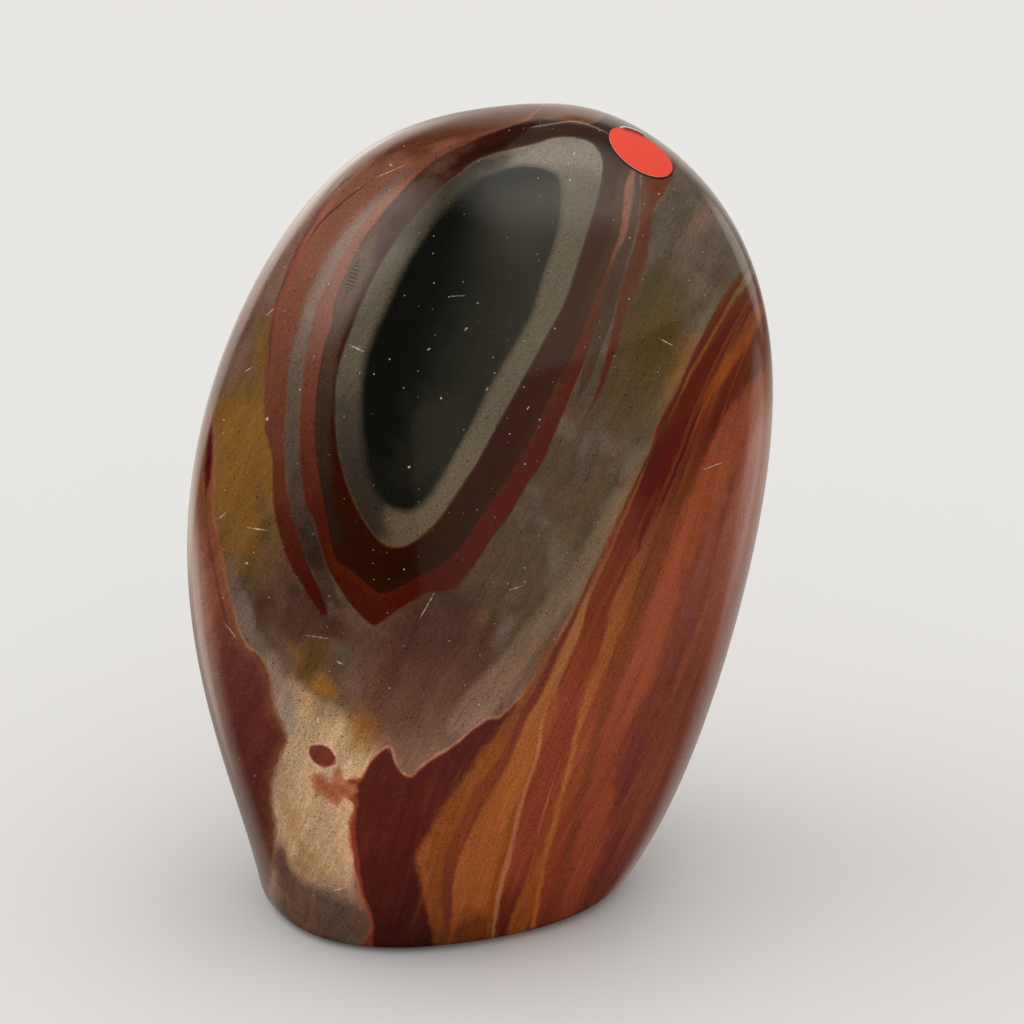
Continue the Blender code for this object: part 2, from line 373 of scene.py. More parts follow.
# On the far side the marking drifts by waves of about this length in millimetres, and by a swing and a
# shift in pixels. There each mark shrinks so fast, in pixels, and each tint fades so fast.
FAR_WAVE = 30.0
FAR_SWING = 75.0
FAR_SHIFT = (45.0, 70.0)
CLOSING = {
    "core": 260, "rim": 240, "maroon": 220, "orange": 200, "brick": 150, "blob": 120, "patch": 120,
    "stitches": 100, "pink_edge": 60, "crack": 60, "right_brick": 60, "grey_band": 40, "purple_line": 40,
    "orange_line": 40, "left_wedge": 40, "right_grey": 40, "pale_border": 40, "left_line": 20,
}
FADING = {"cream_tint": 1.9, "ochre_tint": 1.0, "olive_tint": 1.0}

# Widths of the grain's broad and fine streaks across the run of each: in hundredths of the way between
# its two guide curves in the dark mass, and in pixels in the rest.
GRAIN_WIDTHS = {"mass": (6.0, 1.3), "host": (14.0, 3.0)}


def oval(latitude, longitude):
    """Point in millimetres on the polished side or top of the stone, from angles in degrees."""
    latitude, longitude = np.broadcast_arrays(latitude, longitude)
    last_power = len(LATITUDES) - 1
    flare = Polynomial.fit(LATITUDES, HALF_WIDTHS, last_power)
    shift = Polynomial.fit(LATITUDES, SIDE_SHIFTS, last_power)
    half_width = flare(latitude) * np.cos(np.radians(latitude))
    height = np.sin(np.radians(latitude))
    angle = np.radians(longitude)
    fullness = 1.0 + CORNER_FULLNESS * (1.0 - np.cos(4.0 * angle)) / 2.0
    across = half_width * fullness * np.cos(angle)
    along = half_width * fullness * np.sin(angle) * DEPTH_RATIO
    turn = radians(SECTION_TURN)
    x = shift(latitude) + cos(turn) * across - sin(turn) * along
    y = BACK_SHIFT + BACK_LEAN * height + sin(turn) * across + cos(turn) * along
    z = MIDDLE_HEIGHT + UPRIGHT_RADIUS * height
    return np.stack([x - BOX_MIDDLE[0], y - BOX_MIDDLE[1], z], axis=-1)


def latitude_at(height):
    """Latitude in degrees at which the oval reaches a height in millimetres."""
    return np.degrees(np.arcsin((height - MIDDLE_HEIGHT) / UPRIGHT_RADIUS))


def base_edge(longitude, along):
    """Point on the rounded edge of the base, from along 0 on the side to 1 on the flat face."""
    top = oval(latitude_at(BASE_EDGE_HEIGHT), longitude)
    corner = oval(latitude_at(0.0), longitude)
    inward = oval(latitude_at(0.0), longitude + 180.0) - corner
    inward /= np.linalg.norm(inward, axis=-1, keepdims=True)
    foot = corner + inward * np.linalg.norm(top - corner, axis=-1, keepdims=True)
    along = np.asarray(along)[..., None]
    return (1.0 - along) ** 2 * top + 2.0 * along * (1.0 - along) * corner + along ** 2 * foot


def stone_points(cube):
    """Places in millimetres for the points of a cube from -1 to 1, which becomes the stone."""
    bent = np.tan(cube * (pi / 4.0))
    longitude = np.degrees(np.arctan2(bent[:, 1], bent[:, 0]))
    upper = np.degrees(np.arctan2(bent[:, 2], np.hypot(bent[:, 0], bent[:, 1])))
    upper = upper + MIDDLE_ROW * (1.0 - upper / 90.0) ** 2
    edge_start = 1.0 - 2.0 * EDGE_SHARE
    drop = np.clip(-cube[:, 2], 0.0, 1.0)
    edge_latitude = latitude_at(BASE_EDGE_HEIGHT)
    lower = MIDDLE_ROW + (edge_latitude - MIDDLE_ROW) * np.clip(drop / edge_start, 0.0, 1.0)
    points = oval(np.where(drop > 0.0, lower, upper), longitude)
    rounding = np.clip((drop - edge_start) / (1.0 - edge_start), 0.0, 1.0)
    points = np.where((rounding > 0.0)[:, None], base_edge(longitude, rounding), points)
    reach = np.maximum(abs(cube[:, 0]), abs(cube[:, 1]))[:, None]
    foot = base_edge(longitude, np.ones(len(cube)))
    middle = (oval(latitude_at(0.0), 0.0) + oval(latitude_at(0.0), 180.0)) / 2.0
    on_base = (cube[:, 2] < -0.999)[:, None]
    return np.where(on_base, middle + (foot - middle) * reach, points)


def view_axes():
    """The photo's view in millimetres: camera place, and its right, forward and up directions."""
    tilt = radians(VIEW_ELEVATION)
    forward = np.array([0.0, cos(tilt), -sin(tilt)])
    camera = np.array(VIEW_CENTRE) - forward * VIEW_DISTANCE
    return camera, np.array([1.0, 0.0, 0.0]), forward, np.array([0.0, sin(tilt), cos(tilt)])


def photo_places(points, normals):
    """Pixel of the photo over each point, and how far the surface there faces away, 0 to 1."""
    camera, right, forward, up = view_axes()
    rays = points - camera
    depth = rays @ forward
    scale = VIEW_DISTANCE / PIXEL_MM / depth
    places = np.stack([PHOTO_SIDE / 2 + scale * (rays @ right), PHOTO_SIDE / 2 - scale * (rays @ up)], -1)
    away = (normals * rays).sum(-1) / np.linalg.norm(rays, axis=-1)
    return places, np.clip(away, 0.0, 1.0)


def smooth_line(points, closed, steps=6):
    """Points along a smooth curve through the given ones."""
    points = np.array(points, float)
    if closed:
        before, after, last = points[[-1]], points[:2], len(points)
    else:
        before = 2.0 * points[[0]] - points[[1]]
        after = 2.0 * points[[-1]] - points[[-2]]
        last = len(points) - 1
    held = np.concatenate([before, points, after])
    share = (np.arange(steps) / steps)[:, None]
    pieces = []
    for i in range(last):
        a, b, c, d = held[i:i + 4]
        bend = (-a + 3 * b - 3 * c + d) * share ** 3 + (2 * a - 5 * b + 4 * c - d) * share ** 2
        pieces.append(b + (bend + (c - a) * share) / 2)
    if not closed:
        pieces.append(points[[-1]])
    return np.concatenate(pieces)


def nearest_on(line, places):
    """For each place: distance to a line of points, the side it is on, the run and the share along it."""
    starts = line[:-1, :2]
    runs = line[1:, :2] - starts
    lengths = (runs ** 2).sum(-1)
    best = np.full(len(places), 1e9)
    side = np.ones(len(places))
    index = np.zeros(len(places), int)
    share = np.zeros(len(places))
    for i, (start, run, length) in enumerate(zip(starts, runs, lengths)):
        offset = places - start
        along = np.clip(offset @ run / length, 0.0, 1.0)
        gap = offset - along[:, None] * run
        distance = (gap ** 2).sum(-1)
        closer = distance < best
        best[closer] = distance[closer]
        index[closer] = i
        share[closer] = along[closer]
        side[closer] = np.sign(run[0] * offset[closer, 1] - run[1] * offset[closer, 0])
    return np.sqrt(best), side, index, share


def inside_outline(points, places):
    """Signed distance in pixels to a closed outline, above zero inside it."""
    line = smooth_line(points, closed=True)
    line = np.concatenate([line, line[:1]])
    distance = nearest_on(line, places)[0]
    x, y = places.T
    inside = np.zeros(len(places), bool)
    for (ax, ay), (bx, by) in zip(line[:-1], line[1:]):
        if ay != by:
            inside ^= ((ay > y) != (by > y)) & (x < (bx - ax) * (y - ay) / (by - ay) + ax)
    return np.where(inside, distance, -distance)


def along_streak(points, places):
    """Signed distance in pixels to the middle of a streak, its half width there, below zero past its
    tapered ends, and how far along it the place is."""
    line = smooth_line(points, closed=False)
    beyond = []
    for end, before in ((line[0], line[1]), (line[-1], line[-2])):
        run = end - before
        far = end + run / np.linalg.norm(run[:2]) * STREAK_LEAD
        far[2] = end[2] if end[2] > STREAK_OPEN else STREAK_SHUT
        beyond.append([far])
    line = np.concatenate([beyond[0], line, beyond[1]])
    distance, side, index, share = nearest_on(line, places)
    half_width = (line[index, 2] * (1.0 - share) + line[index + 1, 2] * share) / 2.0
    return np.stack([distance * side, half_width, index + share], -1)


def along_grain(places, away):
    """Place across the grain in hundredths of the way between its two curves, height and depth."""
    reach = []
    for guide in (GRAIN_LEFT, GRAIN_RIGHT):
        distance, side, _, _ = nearest_on(smooth_line(guide, closed=False), places)
        reach.append(-distance * side)
    left, right = reach
    across = 100.0 * left / (abs(left) + abs(right))
    return np.stack([across, places[:, 1], away * 100.0], -1)


def in_patches(patches, places):
    """Strength from 0 to about 1 of a tint that lies in soft oval patches."""
    left = np.ones(len(places))
    for x, y, length, width, turn, strength in patches:
        offset = places - (x, y)
        direction = np.array([cos(radians(turn)), -sin(radians(turn))])
        along = offset @ direction / length
        across = (offset[:, 0] * direction[1] - offset[:, 1] * direction[0]) / width
        left *= 1.0 - strength * np.exp(-(along ** 2 + across ** 2))
    return 1.0 - left


def drift(points, places, away):
    """Moves the marking on the far side, so that the back is no mirror image of the front."""
    x, y, z = (points / FAR_WAVE).T
    side = np.sin(1.3 * z + 0.7 * x + 0.4) + 0.6 * np.sin(2.1 * x - 1.1 * z)
    rise = np.cos(1.1 * x + 0.9 * z) + 0.5 * np.sin(2.3 * z + x)
    side = side + 0.35 * np.sin(4.3 * z + 2.9 * x + y)
    rise = rise + 0.35 * np.cos(3.7 * x - 4.9 * z)
    return places + (away * FAR_SWING)[:, None] * np.stack([side, rise], -1) + np.outer(away, FAR_SHIFT)


def write_marking(mesh, points, normals):
    """Stores the marking on a mesh, as one attribute for each traced outline, streak and tint."""
    places, away = photo_places(points, normals)
    places = drift(points, places, away)
    values = {"photo": np.column_stack([places, away])}
    for name, outline in OUTLINES.items():
        values[name] = inside_outline(outline, places) - CLOSING.get(name, 0) * away
    for name, streak in STREAKS.items():
        values[name] = along_streak(streak, places)
        values[name][:, 1] -= CLOSING.get(name, 0) * away
    for name, patches in TINTS.items():
        left = np.clip(1.0 - FADING.get(name, 0.0) * away, 0.0, 1.0)
        values[name] = in_patches(patches, places) * left
    values["grain"] = along_grain(places, away)
    for name, numbers in values.items():
        kind, field = ("FLOAT_VECTOR", "vector") if numbers.ndim == 2 else ("FLOAT", "value")
        layer = mesh.attributes.new(name, kind, "POINT")
        layer.data.foreach_set(field, numbers.astype(np.float32).ravel())


def linear(colour):
    """Linear RGBA from an sRGB hex colour such as "#c8a070"."""
    parts = [int(colour[i:i + 2], 16) / 255.0 for i in (1, 3, 5)]
    return (*[p / 12.92 if p <= 0.04045 else ((p + 0.055) / 1.055) ** 2.4 for p in parts], 1.0)


# Short names for shader nodes that come often, with the settings that go with them.
SUMS = (
    "ADD", "SUBTRACT", "MULTIPLY", "MULTIPLY_ADD", "ABSOLUTE", "POWER", "MAXIMUM", "LESS_THAN",
    "PINGPONG", "DEGREES", "ARCTAN2", "ARCSINE",
)
NODES = {name: ("Math", {"operation": name}) for name in SUMS}
NODES["ramp"] = ("MapRange", {"interpolation_type": "SMOOTHSTEP"})
NODES["blend"] = ("Mix", {"data_type": "RGBA"})
NODES["scaled"] = ("VectorMath", {"operation": "SCALE"})


def add_node(tree, kind, *inputs, output=None, **settings):
    """Adds a shader node and returns its first output, the one that is named, or the list of "all". Its
    inputs are given in the order that Blender shows: a socket is linked, a value is set, and None is
    left as it is."""
    kind, usual = NODES.get(kind, (kind, {}))
    node = tree.nodes.new("ShaderNode" + kind)
    for name, value in {**usual, **settings}.items():
        setattr(node, name, value)
    for socket, value in zip([each for each in node.inputs if each.enabled], inputs):
        if isinstance(value, bpy.types.NodeSocket):
            tree.links.new(value, socket)
        elif value is not None:
            socket.default_value = value
    outputs = [each for each in node.outputs if each.enabled]
    if output == "all":
        return outputs
    return node.outputs[output] if output else outputs[0]


def set_tones(shades, tones):
    """Gives a colour ramp its tones, and returns its output."""
    stops = shades.node.color_ramp.elements
    while len(stops) < len(tones):
        stops.new(0.5)
    for stop, (y, colour) in zip(stops, tones.items()):
        stop.position = y / PHOTO_SIDE
        stop.color = linear(colour)
    return shades


def new_material(name, roughness, ior):
    material = bpy.data.materials.new(name)
    material.use_nodes = True
    shader = material.node_tree.nodes["Principled BSDF"]
    shader.inputs["Roughness"].default_value = roughness
    shader.inputs["IOR"].default_value = ior
    return material, material.node_tree, shader


# A share too small to see. Adding it makes a node wait for an earlier one, because the renderer holds
# only so many values that are ready at a time.
LATER = 1e-7

# The host rock's tones down the photo, by y in pixels.
HOST_TONES = {
    150: "#6c5b4f", 300: "#615040", 450: "#584531", 560: "#5a4432", 640: "#6a4e3b", 760: "#87654f",
    880: "#8a6652", 930: "#604538",
}

# The marking on the host rock, from the bottom layer up. An outline or streak has how far it is drawn in
# from its traced edge, that edge's softness and its waviness, in pixels, and a tint has the outline that
# it stays in, if any. Each has its tones, given as the host rock's are.
LAYERS = (
    ("cream_tint", None, {
        690: "#bc966e", 740: "#d2ac80", 820: "#cfa67e", 870: "#caa27a", 895: "#aa8468", 915: "#64483c",
        940: "#503a30",
    }),
    ("ochre_tint", None, {
        150: "#7e6444", 340: "#785428", 430: "#8a5e2a", 520: "#7e5628", 580: "#745126", 700: "#a06828",
        740: "#b8854c", 850: "#b08650",
    }),
    ("olive_tint", None, {200: "#4a3a21", 330: "#553e13", 450: "#604a32", 640: "#644824"}),
    ("mauve_tint", None, {
        180: "#986d5c", 300: "#886554", 600: "#4a2c1e", 660: "#5a3a2d", 730: "#784e3d", 900: "#65493b",
    }),
    ("grey_tint", None, {
        200: "#645448", 300: "#544538", 450: "#5c5244", 620: "#776154", 720: "#aa907c", 880: "#906e5a",
    }),
    ("pale_border", (0, 5, 1.5), {
        478: "#6a4e34", 512: "#7c6248", 560: "#786048", 610: "#7e644c", 640: "#82664e", 690: "#8e6c56",
        720: "#947060", 745: "#81604c",
    }),
    ("left_side", (-2.5, 1.5, 1.5), {380: "#8c6650", 560: "#925a2c", 640: "#966e50", 880: "#8a5e48"}),
    ("left_side", (0, 1.8, 1.5), {
        300: "#966f60", 420: "#8e5846", 500: "#844a2c", 600: "#845038", 660: "#76442e", 760: "#784028",
        880: "#6a381e",
    }),
    ("left_side", (7, 6, 3), {
        300: "#906c5c", 500: "#824422", 600: "#844a36", 660: "#66342c", 760: "#5e281e", 880: "#5c2614",
    }),
    ("left_strip", (0, 8, 2), {
        380: "#9a7464", 480: "#9a684e", 600: "#9e6852", 690: "#8c5a46", 780: "#6e3a2c",
    }),
    ("left_wedge", (0, 2, 1), {420: "#560e08", 490: "#52160a"}),
    ("left_line", (0, 1.2, 1), {500: "#784630", 640: "#6a3726"}),
    ("brick", (0, 1.8, 0.7), {
        120: "#6c3820", 148: "#683a26", 162: "#885640", 190: "#885846", 250: "#905e48", 340: "#7c4a38",
        450: "#683826", 520: "#542210", 600: "#451208",
    }),
    ("grey_band", (0, 3, 1.5), {
        160: "#705548", 190: "#7e6658", 222: "#8e7060", 250: "#8a6b5a", 300: "#866a58", 356: "#766052",
        400: "#6a5546", 446: "#5e4b3f", 500: "#4a392e", 530: "#3e2c22", 570: "#382618", 606: "#4a3424",
    }),
    ("purple_line", (0, 1.2, 1), {170: "#a86c5a", 220: "#84524a", 360: "#60362b"}),
    ("orange_line", (0, 1.6, 1), {180: "#9f6951", 230: "#a3624b", 290: "#8d4f36", 330: "#7c4322"}),
    ("crack", (0, 0.8, 0.6), {180: "#6a3c2a", 240: "#643a2c"}),
    ("right_brick", (0, 2.2, 1.2), {170: "#6a3a20", 300: "#5c240c", 400: "#561c0a"}),
    ("orange", (0, 1.5, 0.5), {
        105: "#6a341e", 122: "#5a1c0e", 150: "#76442e", 190: "#93604a", 300: "#844f3c", 420: "#6c3a28",
        460: "#5f2d1a", 520: "#4a180a", 600: "#4a1606",
    }),
    ("maroon", (-6, 5, 1), {
        150: "#76442e", 190: "#93604a", 300: "#844f3c", 420: "#6c3a28", 460: "#5f2d1a", 520: "#4c1a0a",
        580: "#551c02",
    }),
    ("right_deep", "orange", {
        220: "#6a3a20", 330: "#561e0a", 420: "#541606", 520: "#560e05", 590: "#4c1002",
    }),
    ("pink_edge", (0, 1.2, 0.6), {110: "#925a42", 135: "#84503a", 148: "#6e3e2a", 160: "#744430"}),
    ("right_grey", (0, 1.2, 1), {170: "#5c4238", 220: "#563f30", 300: "#492c1d", 400: "#563e2e"}),
    ("maroon", (0, 1.8, 0.5), {
        110: "#2c0c08", 130: "#34100a", 200: "#50301c", 340: "#3a1608", 420: "#3d1708", 560: "#2f1002",
    }),
    ("maroon", (9, 4, 1), {
        110: "#2e0e06", 150: "#321408", 200: "#3c1408", 340: "#3c140a", 420: "#380d05", 520: "#321000",
        590: "#2a0d00",
    }),
    ("olive_rim", "maroon", {200: "#745a48", 300: "#5c4532", 400: "#423022", 500: "#2a1c12"}),
    ("rim", (-1, 1.2, 0.5), {140: "#42240e", 300: "#443024", 450: "#40261a", 500: "#4e2808"}),
    ("rim", (0.8, 1, 0.5), {
        140: "#8a7e6e", 156: "#8a7e6e", 200: "#645a48", 300: "#655b48", 420: "#695c49", 480: "#6f5f4a",
        540: "#66543f",
    }),
    ("rim_shade", "rim", {170: "#3e352a", 240: "#453c30", 400: "#484034", 450: "#3c332a", 520: "#382d23"}),
    ("stitches", (0, 1, 1), {260: "#1c140c", 290: "#1c140c"}),
    ("core", (0, 6.5, 0.6), {150: "#12110c", 250: "#12120e", 500: "#12110b"}),
    ("core_pale", "core", {150: "#161813", 300: "#1e1e18", 420: "#24231b", 500: "#242219"}),
    ("dark_mass", (-2, 1.5, 1.5), {
        300: "#603a17", 560: "#7a5838", 700: "#9a6c58", 780: "#c08468", 798: "#8c4c32", 832: "#b06a48",
        855: "#b87450", 885: "#a05c3c", 905: "#84482e",
    }),
    ("dark_mass", (0, 1.2, 1.5), {
        300: "#64290c", 420: "#621c08", 560: "#844128", 720: "#9b4b30", 850: "#8d3c28", 930: "#793824",
    }),
    ("deep_maroon", (0, 1.5, 1.5), {750: "#5e2920", 850: "#5e261d", 930: "#431b15"}),
    ("ochre_zone", (0, 6, 3), {
        560: "#8e542e", 750: "#a0562d", 860: "#a85c2e", 905: "#a4582a", 935: "#6e361a",
    }),
    ("right_side", (0, 9, 3), {
        330: "#6a2c18", 430: "#a8644e", 530: "#9b5c48", 620: "#8d4e38", 720: "#78402e", 860: "#7a4034",
    }),
    ("orange_red", (0, 7, 4), {
        390: "#92462a", 480: "#984423", 600: "#9e5035", 760: "#9a4b2f", 900: "#92472c",
    }),
    ("plum_streak", (0, 6, 4), {480: "#8e4634", 560: "#884b3c", 700: "#763a2f", 900: "#70362a"}),
    ("inner_ochre", (0, 4, 3), {640: "#76452d", 760: "#985428", 900: "#8c4b23", 935: "#6e3a18"}),
    ("brick_band", (0, 2.5, 1.2), {
        300: "#5a1606", 417: "#5d1a07", 456: "#521506", 492: "#580c06", 560: "#74321a", 700: "#92422d",
        860: "#92412a", 930: "#622619",
    }),
    ("deep_brown", (0, 3, 1.5), {400: "#5c0e05", 520: "#5a1005"}),
    ("amber", (0, 3, 1.5), {310: "#884210", 380: "#90440a", 430: "#742606", 520: "#702c08"}),
    ("tan_line", (0, 1.4, 0.8), {
        280: "#7c5c42", 320: "#895124", 470: "#7e3f10", 580: "#905834", 620: "#a26a40", 760: "#ac602f",
    }),
    ("dark_edge", (0, 1.2, 0.8), {300: "#5c341e", 450: "#4e1c07"}),
    ("dark_line", (0, 1.2, 0.8), {400: "#3c0a06", 520: "#4a0e06", 640: "#5a2c18"}),
    ("wavy_maroon", (0, 2, 1.2), {
        560: "#643020", 700: "#773928", 800: "#864128", 870: "#7c3c28", 930: "#6e3420",
    }),
    ("ochre_vein", (0, 2.2, 1.2), {500: "#682a0f", 600: "#9a562e", 760: "#b66836", 920: "#ab5d2a"}),
    ("ochre_low", (0, 3, 2), {860: "#984e29", 930: "#904a20"}),
    ("olive_streak", (0, 3.5, 1.5), {
        400: "#5c0c06", 480: "#682d08", 600: "#86482a", 760: "#88442a", 920: "#7c3a23",
    }),
    ("olive_low", (0, 2, 1.5), {800: "#a0552a", 930: "#88451c"}),
    ("faint_line", (0, 0.8, 0.5), {780: "#b26448", 880: "#9c5438"}),
    ("pale_vein", (0, 1.3, 0.6), {640: "#a9663e", 740: "#c27149", 860: "#b46d4a", 930: "#a56d51"}),
    ("patch", (-1, 3, 2.5), {770: "#ae7052", 806: "#b26c4a"}),
    ("patch", (5, 2.5, 2), {770: "#a86244", 806: "#a45c3e"}),
    ("blob", (-2.5, 1.5, 1), {740: "#e2b897", 770: "#d8ac8e"}),
    ("blob", (-0.6, 1.2, 1), {740: "#a05a3c", 770: "#9a5438"}),
    ("blob", (0.8, 1.2, 1), {740: "#7a3a2c", 770: "#733226"}),
)

# Stains of other hues in the host rock, and bands that take over from it on the far side: the channel
# of a noise that gives each its shape, from and to which value it comes in, and its colour.
HOST_HUES = ((1, 0.5, 0.66, "#6a4a3e"), (2, 0.5, 0.66, "#50452c"), (0, 0.5, 0.64, "#75685a"))
FAR_BANDS = ((0, 0.48, 0.62, "#84572a"), (1, 0.52, 0.58, "#6e3828"), (2, 0.54, 0.66, "#8c7662"))
FAR_BAND_SIZE_MM = (15.0, 34.0, 85.0)


def add_layers(add, colour, down, blotch, wave):
    """Lays the marking's layers over a colour. Their tones are read from the place down the photo."""
    for i, (name, edge, tones) in enumerate(LAYERS):
        channel = i % 3
        if name in TINTS:
            mark = add("Attribute", attribute_name=name, output="Fac")
            uneven = add("MULTIPLY_ADD", blotch[channel], 0.9, -0.45)
            uneven = add("MULTIPLY_ADD", wave[channel], 0.5, add("SUBTRACT", uneven, 0.25))
            share = add("ramp", add("ADD", mark, uneven), 0.05, 0.85)
            if edge:
                bounds = add("Attribute", attribute_name=edge, output="Fac")
                share = add("MULTIPLY", share, add("ramp", bounds, 0.0, 1.8))
        else:
            inset, softness, waviness = edge
            mark = add("Attribute", attribute_name=name, output="Vector" if name in STREAKS else "Fac")
            wobble = add("MULTIPLY_ADD", wave[channel], 4 * waviness, -2 * waviness)
            if name in STREAKS:
                across, half_width, along = add("SeparateXYZ", mark, output="all")
                gap = add("ABSOLUTE", add("ADD", across, wobble))
                depth = add("SUBTRACT", half_width, gap)
            else:
                depth = add("ADD", mark, wobble)
            share = add("ramp", depth, inset - softness, inset + softness)
            if name == "stitches":
                between = add("PINGPONG", add("MULTIPLY", along, 0.55), 0.5)
                share = add("MULTIPLY", share, add("ramp", between, 0.22, 0.34))
        down = add("MULTIPLY_ADD", share, LATER, down)
        colour = add("blend", share, colour, set_tones(add("ValToRGB", down), tones))
    return colour


def add_grain(add, colour, photo, blotches, mass, in_mass):
    """Stains a colour along the grain, and returns it with the light and dark of the grain's streaks.
    The grain runs steeper in the dark mass on the right than in the rest."""
    flow = add("Attribute", attribute_name="grain", output="Vector")
    swerve = add("scaled", blotches, 30.0)
    slant = add("VectorMath", photo, swerve, operation="ADD")
    slant = add("Mapping", slant, None, (0.0, 0.0, radians(-28.0)))
    light = {}
    for part, vector in (("mass", flow), ("host", slant)):
        wide, narrow = GRAIN_WIDTHS[part]
        broad = add("Mapping", vector, None, None, (1 / wide, 1 / 170.0, 1 / 60.0))
        broad, hue = add("TexNoise", broad, 1.0, 3.0, output="all")
        fine = add("Mapping", vector, None, None, (1 / narrow, 1 / 90.0, 1 / 20.0))
        fine = add("TexNoise", fine, 1.0, 3.0)
        light[part] = add("MULTIPLY_ADD", add("ADD", broad, fine), 3.4, -3.4)
        light[part + " hue"] = add("SeparateColor", hue, output="Green")
    ochre = add("ramp", light["mass hue"], 0.52, 0.68, 0.0, 0.28)
    ochre = add("MULTIPLY", ochre, add("ramp", mass, 6.0, 30.0))
    colour = add("blend", ochre, colour, linear("#a05a28"))
    brick, orange = [add("Attribute", attribute_name=name, output="Fac") for name in ("brick", "orange")]
    in_eye = add("MAXIMUM", add("ramp", brick, -3.0, 3.0), add("ramp", orange, -3.0, 3.0))
    host_streaks = add("MULTIPLY", light["host"], add("MULTIPLY_ADD", in_eye, -0.13, 0.19))
    mass_streaks = add("MULTIPLY", light["mass"], add("ramp", mass, 0.0, 24.0, 0.08, 0.2))
    return colour, add("Mix", in_mass, host_streaks, mass_streaks)


def add_wear_and_glints(add, colour, photo, grain, blotch, paleness, in_mass):
    """Lays on the wear and painted glints: faint hairlines, small bright dots of painted glint, and the
    few scratches, painted glints and pits that show in the photo.
    """
    beads = add("ramp", grain, 0.42, 0.6, 0.15, 0.8)
    hairs = add("Mapping", photo, None, (0.0, 0.0, radians(6.0)), (1 / 26.0, 1 / 1.3, 1 / 30.0))
    hairs = add("TexNoise", hairs, 1.0, 1.0)
    hairline = add("MULTIPLY", add("ramp", hairs, 0.66, 0.82, 0.0, 0.06), add("ramp", blotch[2], 0.48, 0.6))
    hairline = add("MULTIPLY", hairline, add("ramp", paleness, 0.01, 0.05))
    colour = add("blend", hairline, colour, linear("#d8c8b0"))
    # Small bright dots here and there, painted glints of light, rarer in the dark mass.
    distance, chance, _ = add("TexVoronoi", photo, 1 / 15.0, voronoi_dimensions="2D", output="all")
    chance = add("SeparateColor", chance, output="all")
    size = add("MULTIPLY_ADD", add("POWER", chance[1], 3.0), 0.036, 0.026)
    glint_dots = add("LESS_THAN", distance, size)
    rarely = add("SUBTRACT", chance[0], add("MULTIPLY", in_mass, 0.24))
    glint_dots = add("MULTIPLY", glint_dots, add("ramp", rarely, 0.72, 0.98, 0.0, 0.62))
    colour = add("blend", glint_dots, colour, linear("#dcd0b8"))
    mark_place = add("VectorMath", photo, add("MULTIPLY", glint_dots, LATER), operation="ADD")
    # Dark pits of wear, then pale scratches of wear with round painted glints.
    for marks, shade in ((PITS, "#140c08"), (PALE_SCRATCHES_AND_GLINTS, "#e8dcc6")):
        wear_and_glint = 0.0
        for x, y, length, width, turn in marks:
            frame_of_mark = ((x, y, 0.0), (0.0, 0.0, radians(-turn)), (length, width, 0.1))
            spot = add("Mapping", mark_place, *frame_of_mark, vector_type="TEXTURE")
            reach = add("VectorMath", spot, operation="LENGTH")
            wear_and_glint = add("MAXIMUM", add("ramp", reach, 0.5, 1.1, 1.0, 0.0), wear_and_glint)
        colour = add("blend", add("MULTIPLY", wear_and_glint, beads), colour, linear(shade))
    return colour


